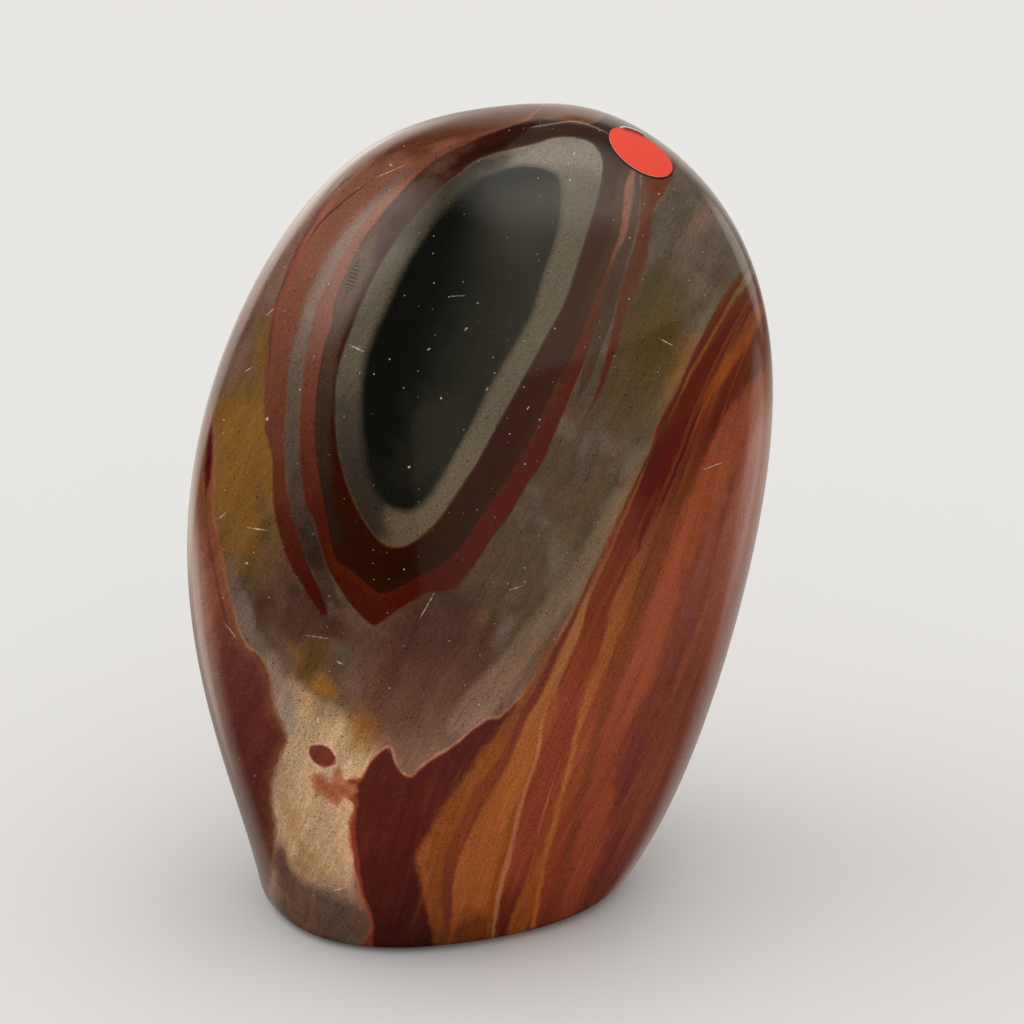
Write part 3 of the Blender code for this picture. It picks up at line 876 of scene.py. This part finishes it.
def jasper():
    """Jasper, sawn, ground and polished to a wet gloss: an opaque fine-grained quartz whose iron
    stains lie in sharp flowing bands, with pinholes and hairline scratches in the polish."""
    material, tree, shader = new_material("Polished polychrome jasper", roughness=0.09, ior=1.54)
    add = partial(add_node, tree)
    place = add("TexCoord", output="Object")
    photo = add("Attribute", attribute_name="photo", output="Vector")
    height = add("SeparateXYZ", photo, output="Y")
    blotches = add("TexNoise", place, 1000 / 9.0, 3.0, output="Color")
    waves = add("TexNoise", place, 1000 / 2.6, 3.0, output="Color")
    grain = add("TexNoise", place, 1000 / 0.34, 2.0, 0.7)
    wave = add("SeparateColor", waves, output="all")
    blotch = add("SeparateColor", blotches, output="all")
    down = add("MULTIPLY_ADD", blotch[0], 0.09, -0.045)
    down = add("MULTIPLY_ADD", height, 1 / PHOTO_SIDE, down)

    colour = set_tones(add("ValToRGB", down), HOST_TONES)
    for part, low, high, shade in HOST_HUES:
        colour = add("blend", add("ramp", blotch[part], low, high, 0.0, 0.45), colour, linear(shade))
    far = add("ramp", add("SeparateXYZ", photo, output="Z"), 0.04, 0.3, 0.0, 0.7)
    sizes = tuple(1000 / size for size in FAR_BAND_SIZE_MM)
    bands = add("Mapping", place, None, (radians(10.0), radians(28.0), 0.0), sizes)
    bands = add("TexNoise", bands, 1.0, 2.0, None, None, 0.3, output="Color")
    bands = add("SeparateColor", bands, output="all")
    for part, low, high, shade in FAR_BANDS:
        share = add("MULTIPLY", far, add("ramp", bands[part], low, high))
        colour = add("blend", share, colour, linear(shade))
    colour = add_layers(add, colour, down, blotch, wave)
    mass = add("Attribute", attribute_name="dark_mass", output="Fac")
    in_mass = add("ramp", mass, -2.0, 4.0)
    colour, streaks = add_grain(add, colour, photo, blotches, mass, in_mass)

    # Light halo outside the dark mass, a fine speckle that is strongest in the pale zones, and pinholes.
    halo = add("MULTIPLY", add("ramp", mass, -20.0, -2.0, 0.0, 0.22), add("SUBTRACT", 1.0, in_mass))
    paleness = add("RGBToBW", colour)
    speck = add("ramp", grain, 0.36, 0.6, -1.1, 0.6)
    speck = add("MULTIPLY", speck, add("ramp", paleness, 0.02, 0.45, 0.2, 0.28))
    distance, chance, _ = add("TexVoronoi", place, 1000 / 1.1, output="all")
    chance = add("SeparateColor", chance)
    hole = add("MULTIPLY", add("ramp", distance, 0.1, 0.24, 1.0, 0.0), add("ramp", chance, 0.45, 0.6))
    hole = add("MULTIPLY", hole, add("MULTIPLY_ADD", in_mass, -0.25, 0.5))
    total = add("ADD", add("ADD", speck, streaks), add("ADD", halo, 1.0))
    colour = add("scaled", colour, add("SUBTRACT", total, hole))
    colour = add_wear_and_glints(add, colour, photo, grain, blotch, paleness, in_mass)
    tree.links.new(colour, shader.inputs["Base Color"])
    return material


def label_materials():
    """Uncoated label paper, printed in one flat red, and its white cut edge: matt, faintly fibrous, with
    painted shade on its lifted lip. Below its edge, a dark sheet that is a painted shadow."""
    materials = []
    for name, roughness, dark, light in (
        ("Red label paper", 0.62, "#fa3a20", "#ff5034"),
        ("White cut paper", 0.7, "#ecd6cc", "#fdf2ec"),
        # The dark sheet under the label's edge, a painted shadow.
        ("Painted label shadow", 0.5, "#140c0a", "#241814"),
    ):
        material, tree, shader = new_material(name, roughness, ior=1.45)
        add = partial(add_node, tree)
        fibres = add("TexNoise", add("TexCoord", output="Object"), 1000 / 0.5, 4.0, 0.65)
        shade = add("blend", fibres, linear(dark), linear(light))
        if not materials:
            # Painted shade on the lifted lip, in a darker red, darkest at its edge.
            painted_lip_shade = add("Attribute", attribute_name="painted_lip_shade", output="Fac")
            shade = add("blend", add("MapRange", painted_lip_shade, 0.1, 0.8, 0.0, 0.85), shade, linear("#6a120c"))
        tree.links.new(shade, shader.inputs["Base Color"])
        tree.links.new(add("Bump", 0.25, 0.00005, None, fibres), shader.inputs["Normal"])
        materials.append(material)
    red, white, shadow_sheet = materials
    return red, white, white, shadow_sheet


def add_piece(name, shape, materials):
    mesh = bpy.data.meshes.new(name)
    shape.to_mesh(mesh)
    shape.free()
    for material in materials:
        mesh.materials.append(material)
    mesh.shade_smooth()
    piece = bpy.data.objects.new(name, mesh)
    bpy.context.scene.collection.objects.link(piece)
    return piece


class JasperStoneSettings(bpy.types.PropertyGroup):
    cuts: IntProperty(
        name="Cuts", description="Faces along each side of the cube that becomes the stone",
        default=128, min=16, max=128,
    )


class JasperLabelSettings(bpy.types.PropertyGroup):
    thickness: FloatProperty(
        name="Paper thickness", description="Thickness of the label's paper",
        default=0.00011, min=0.00005, max=0.0005, precision=5, subtype="DISTANCE", unit="LENGTH",
    )
    lift: FloatProperty(
        name="Lip height", description="How far the creased upper lip stands off the stone",
        default=0.00045, min=0.0, max=0.003, precision=5, subtype="DISTANCE", unit="LENGTH",
    )


class JasperStageSettings(bpy.types.PropertyGroup):
    floor_colour: FloatVectorProperty(
        name="Floor", description="Colour of the floor", subtype="COLOR", size=3, min=0.0, max=1.0,
        default=linear("#f1efec")[:3],
    )
    daylight: FloatProperty(
        name="Room light", description="Even light from all sides", default=0.7, min=0.0, max=2.0,
    )
    key_share: FloatProperty(
        name="Softboxes", description="Light that the softboxes add to the even light",
        default=0.6, min=0.0, max=2.0,
    )


class JASPER_OT_stone(bpy.types.Operator):
    """Models the stone and lays its marking on it"""

    bl_idname = "jasper.stone"
    bl_label = "Stone"

    def execute(self, context):
        cuts = context.scene.jasper_stone.cuts
        shape = bmesh.new()
        bmesh.ops.create_cube(shape, size=2.0)
        bmesh.ops.subdivide_edges(shape, edges=shape.edges, cuts=cuts - 1, use_grid_fill=True)
        places = stone_points(np.array([corner.co for corner in shape.verts])) * MM
        for corner, place in zip(shape.verts, places):
            corner.co = place
        bmesh.ops.recalc_face_normals(shape, faces=shape.faces)
        piece = add_piece("jasper_stone", shape, [jasper()])
        mesh = piece.data
        mesh.set_sharp_from_angle(angle=radians(SHARP_ANGLE))
        points, normals = np.empty((2, len(mesh.vertices) * 3), np.float32)
        mesh.vertices.foreach_get("co", points)
        mesh.vertices.foreach_get("normal", normals)
        write_marking(mesh, points.reshape(-1, 3).astype(float) / MM, normals.reshape(-1, 3).astype(float))
        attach(piece, "root")
        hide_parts("stone")
        return {"FINISHED"}


class JASPER_OT_label(bpy.types.Operator):
    """Lays the paper label on the stone, its lifted upper lip in painted shade, over a painted shadow"""

    bl_idname = "jasper.label"
    bl_label = "Label"

    def execute(self, context):
        settings = context.scene.jasper_label
        middle = Vector(oval(LABEL_LATITUDE, LABEL_LONGITUDE))
        east = Vector(oval(LABEL_LATITUDE, LABEL_LONGITUDE + 1.0)) - middle
        north = Vector(oval(LABEL_LATITUDE + 1.0, LABEL_LONGITUDE)) - middle
        outward = east.cross(north).normalized()
        across = east.normalized()
        turned = Matrix((across, outward.cross(across), outward)).transposed()
        surface = BVHTree.FromObject(bpy.data.objects["jasper_stone"], context.evaluated_depsgraph_get())

        shape = bmesh.new()
        painted_lip_shade = shape.verts.layers.float.new("painted_lip_shade")
        low_side = radians(LIP_TURN + 180.0)
        # The red paper, then the dark sheet under it that is a painted shadow round its lower edge.
        for wider, shift, gap, index in (
            (0.0, 0.0, PAPER_GAP, RED_PAPER),
            (SHADOW_SHEET_RIM, SHADOW_SHEET_SHIFT, SHADOW_SHEET_GAP, SHADOW_SHEET),
        ):
            edge = LABEL_DIAMETER / 2.0 + wider
            finished = {*shape.verts, *shape.faces}
            made = bmesh.ops.create_circle(shape, cap_ends=True, radius=edge, segments=LABEL_SIDES)
            cap = list(made["verts"][0].link_faces)
            bmesh.ops.recalc_face_normals(shape, faces=cap)
            for _ in range(LABEL_RINGS - 1):
                bmesh.ops.inset_region(shape, faces=cap, use_boundary=True, thickness=edge / LABEL_RINGS)
            bmesh.ops.poke(shape, faces=cap)
            for face in set(shape.faces) - finished:
                face.material_index = index
                outer = face.calc_center_median()
                in_rim = outer.length > edge * (1 - 1 / LABEL_RINGS)
                if index == RED_PAPER and in_rim and self.lip_share(outer)[0] > LIP_WHITE_FROM:
                    face.material_index = WHITE_PAPER
            for corner in set(shape.verts) - finished:
                turn_share, edge_share = self.lip_share(corner.co)
                lip = turn_share * edge_share if index == RED_PAPER else 0.0
                # The lip's share also sets how deep its painted shade is.
                corner[painted_lip_shade] = lip
                flat = corner.co * (1.0 - LIP_PULL * lip)
                flat += Vector((shift * cos(low_side), shift * sin(low_side), CAST_HEIGHT))
                hit, normal, _, _ = surface.ray_cast((middle + turned @ flat) * MM, -outward)
                if hit is None:
                    raise RuntimeError("the label misses the stone")
                corner.co = hit + normal * (gap * MM + settings.lift * lip * edge_share)
        piece = add_piece("paper_dot", shape, label_materials())
        thicken = piece.modifiers.new("Paper thickness", "SOLIDIFY")
        thicken.thickness = settings.thickness
        thicken.offset = 1.0
        thicken.material_offset_rim = WHITE_PAPER
        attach(piece, "root")
        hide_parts("paper_label")
        return {"FINISHED"}

    @staticmethod
    def lip_share(place):
        """Share of the lip's turn round the label, and of its depth in from the edge, at a place on it."""
        turn = degrees(atan2(place.y, place.x)) - LIP_TURN
        turn = abs((turn + 180.0) % 360.0 - 180.0)
        depth = (place.length - LABEL_DIAMETER / 2.0 + LIP_DEPTH) / LIP_DEPTH
        smooth = [min(max(value, 0.0), 1.0) for value in ((LIP_SPREAD - turn) / LIP_FADE, depth)]
        return [value * value * (3.0 - 2.0 * value) for value in smooth]


# The studio as the stone mirrors it, by direction: azimuth in degrees to the right of the side
# that the photo is taken from, elevation, radius of full brightness, radius where it has faded
# out, and brightness next to white.
SOFTBOXES = {
    "left": (-92.0, 46.0, 14.0, 32.0, 1.5),
    "top": (108.0, 70.0, 2.0, 36.0, 1.05),
    "backdrop": (178.0, 0.0, 8.0, 28.0, 0.6),
    "backdrop on the left": (-160.0, -10.0, 12.0, 16.5, 0.55),
    "backdrop's bright side": (-161.0, 4.0, 7.0, 17.0, 0.72),
    "backdrop's edge on the right": (144.0, -4.0, 5.0, 12.0, 0.6),
    "wall on the right": (127.0, -22.0, 5.0, 13.0, 0.42),
}
TABLE = {
    "table on the right": (150.0, -27.0, 8.0, 26.0, 0.42),
    "table on the left": (-156.0, -29.0, 4.0, 30.0, 0.3),
    "table's bright left": (-147.0, -26.0, 3.0, 9.0, 0.4),
}
TABLE_EDGE = (-24.0, -16.0)
FLOOR_DARK = (-52.0, -38.0)
SOFTBOX_COLOUR = (1.0, 0.93, 0.84)
ROOM_GLOW = 0.012

# A thin bright strip high behind the stone: from and to elevation, from azimuth, full azimuth,
# brightness, and the softness of its long edges in degrees.
STRIP = (30.0, 31.7, 152.0, 164.0, 2.8)
STRIP_EDGE = 0.6

# The grey card in front on the right, whose left edge is sharp below its top and soft above it,
# by elevation and azimuth in degrees.
CARD_COLOUR = (1.0, 0.89, 0.66)
CARD_TOP = 12.5
CARD_EDGE = ((-26.0, 5.0), (12.0, -10.0))
CARD_LOW = (0.17, 0.26)
CARD_HIGH = (-25.0, 30.0, 0.6)


def facing(azimuth, elevation):
    """Direction from the stone, from degrees right of the photographed side and above level."""
    turn, rise = radians(azimuth), radians(elevation)
    return Vector((sin(turn) * cos(rise), -cos(turn) * cos(rise), sin(rise)))


def studio_light(tree):
    """Colour of the studio in each direction, and the brightness of its softboxes, from world nodes."""
    add = partial(add_node, tree)
    direction = add("TexCoord")
    x, y, z = add("SeparateXYZ", direction, output="all")
    azimuth = add("DEGREES", add("ARCTAN2", x, add("MULTIPLY", y, -1.0)))
    elevation = add("DEGREES", add("ARCSINE", z))
    glows = []
    for lights in (TABLE, SOFTBOXES):
        total = ROOM_GLOW
        for turn, rise, inner, outer, brightness in lights.values():
            nearness = add("VectorMath", direction, facing(turn, rise), operation="DOT_PRODUCT")
            glow = add("ramp", nearness, cos(radians(outer)), cos(radians(inner)), 0.0, brightness)
            total = add("ADD", glow, total)
        glows.append(total)
    table = add("MULTIPLY", glows[0], add("ramp", elevation, *TABLE_EDGE, 1.0, 0.0))
    boxes = add("MULTIPLY", add("ADD", glows[1], table), add("ramp", elevation, *FLOOR_DARK, 0.03, 1.0))

    lowest, highest, first, full, brightness = STRIP
    strip = add("MULTIPLY", add("ramp", elevation, lowest, lowest + STRIP_EDGE),
                add("ramp", elevation, highest - STRIP_EDGE, highest, 1.0, 0.0))
    boxes = add("MULTIPLY_ADD", strip, add("ramp", azimuth, first, full, 0.0, brightness), boxes)

    (low, at_low), (high, at_high) = CARD_EDGE
    past = add("SUBTRACT", azimuth, add("MapRange", elevation, low, high, at_low, at_high))
    low_card = add("MULTIPLY", add("ramp", past, -0.8, 0.8), add("MapRange", past, 0.0, 12.0, *CARD_LOW))
    low_card = add("MULTIPLY", low_card, add("ramp", azimuth, 20.0, 70.0, 1.0, 0.5))
    low_card = add("MULTIPLY", low_card, add("ramp", elevation, -34.0, -20.0))
    start, end, brightness = CARD_HIGH
    high_card = add("POWER", add("MapRange", azimuth, start, end), 2.0)
    high_card = add("MULTIPLY", high_card, add("ramp", azimuth, 60.0, 120.0, brightness, 0.3 * brightness))
    high_card = add("MULTIPLY", high_card, add("ramp", elevation, 40.0, 58.0, 1.0, 1.4))
    high_card = add("MULTIPLY", high_card, add("ramp", elevation, 64.0, 88.0, 1.0, 0.3))
    card = add("Mix", add("ramp", elevation, CARD_TOP - 0.5, CARD_TOP + 0.5), low_card, high_card)
    parts = [add("scaled", SOFTBOX_COLOUR, boxes), add("scaled", CARD_COLOUR, card)]
    return add("VectorMath", *parts, operation="ADD"), boxes


class JASPER_OT_stage(bpy.types.Operator):
    """Adds the floor, the soft studio light and the photo's camera"""

    bl_idname = "jasper.stage"
    bl_label = "Stage"

    def execute(self, context):
        scene = context.scene
        settings = scene.jasper_stage
        shape = bmesh.new()
        bmesh.ops.create_grid(shape, x_segments=1, y_segments=1, size=FLOOR_REACH)
        material, tree, shader = new_material("Pale matt board", roughness=0.8, ior=1.45)
        haze = add_node(tree, "TexNoise", add_node(tree, "TexCoord", output="Object"), 3.0)
        shade = add_node(tree, "MapRange", haze, None, None, 0.98, 1.02)
        tinted = add_node(tree, "scaled", tuple(settings.floor_colour), shade)
        tree.links.new(tinted, shader.inputs["Base Color"])
        floor = add_piece("floor", shape, [material])
        floor.visible_glossy = False

        world = bpy.data.worlds.new("Studio")
        world.use_nodes = True
        tree = world.node_tree
        for_camera, _, _, for_mirrors, *_ = add_node(tree, "LightPath", output="all")
        mirrored, boxes = studio_light(tree)
        even = add_node(tree, "MULTIPLY_ADD", boxes, settings.key_share, settings.daylight)
        seen = add_node(tree, "blend", for_mirrors, even, mirrored)
        shown = add_node(tree, "blend", for_camera, seen, (1.0, 1.0, 1.0, 1.0))
        tree.links.new(shown, tree.nodes["Background"].inputs["Color"])
        scene.world = world

        place, right, forward, up = view_axes()
        camera = bpy.data.cameras.new("Photo view")
        camera.sensor_width = SENSOR_MM
        camera.lens = SENSOR_MM * VIEW_DISTANCE / PIXEL_MM / PHOTO_SIDE
        camera.clip_start, camera.clip_end = 0.05, 50.0
        viewer = bpy.data.objects.new("Photo view", camera)
        turned = Matrix((right, up, -forward)).transposed().to_4x4()
        viewer.matrix_world = Matrix.Translation(Vector(place) * MM) @ turned
        scene.collection.objects.link(viewer)
        scene.camera = viewer
        scene.view_settings.view_transform = "Standard"
        return {"FINISHED"}


class JASPER_PT_panel(bpy.types.Panel):
    bl_label = "Jasper"
    bl_idname = "JASPER_PT_panel"
    bl_space_type = "VIEW_3D"
    bl_region_type = "UI"
    bl_category = "Jasper"

    def draw(self, context):
        scene = context.scene
        groups = (
            (scene.jasper_stone, "jasper.stone"),
            (scene.jasper_label, "jasper.label"),
            (scene.jasper_stage, "jasper.stage"),
        )
        for settings, operator in groups:
            box = self.layout.box()
            for name in settings.__annotations__:
                box.prop(settings, name)
            box.operator(operator)


CLASSES = (
    JasperStoneSettings, JasperLabelSettings, JasperStageSettings,
    JASPER_OT_stone, JASPER_OT_label, JASPER_OT_stage, JASPER_PT_panel,
)


def register():
    for item in CLASSES:
        bpy.utils.register_class(item)
    bpy.types.Scene.jasper_stone = PointerProperty(type=JasperStoneSettings)
    bpy.types.Scene.jasper_label = PointerProperty(type=JasperLabelSettings)
    bpy.types.Scene.jasper_stage = PointerProperty(type=JasperStageSettings)


def unregister():
    for name in ("jasper_stone", "jasper_label", "jasper_stage"):
        delattr(bpy.types.Scene, name)
    for item in reversed(CLASSES):
        bpy.utils.unregister_class(item)


def main():
    register()
    bpy.ops.jasper.stone()
    bpy.ops.jasper.label()
    bpy.ops.jasper.stage()


if __name__ == "__main__":
    main()
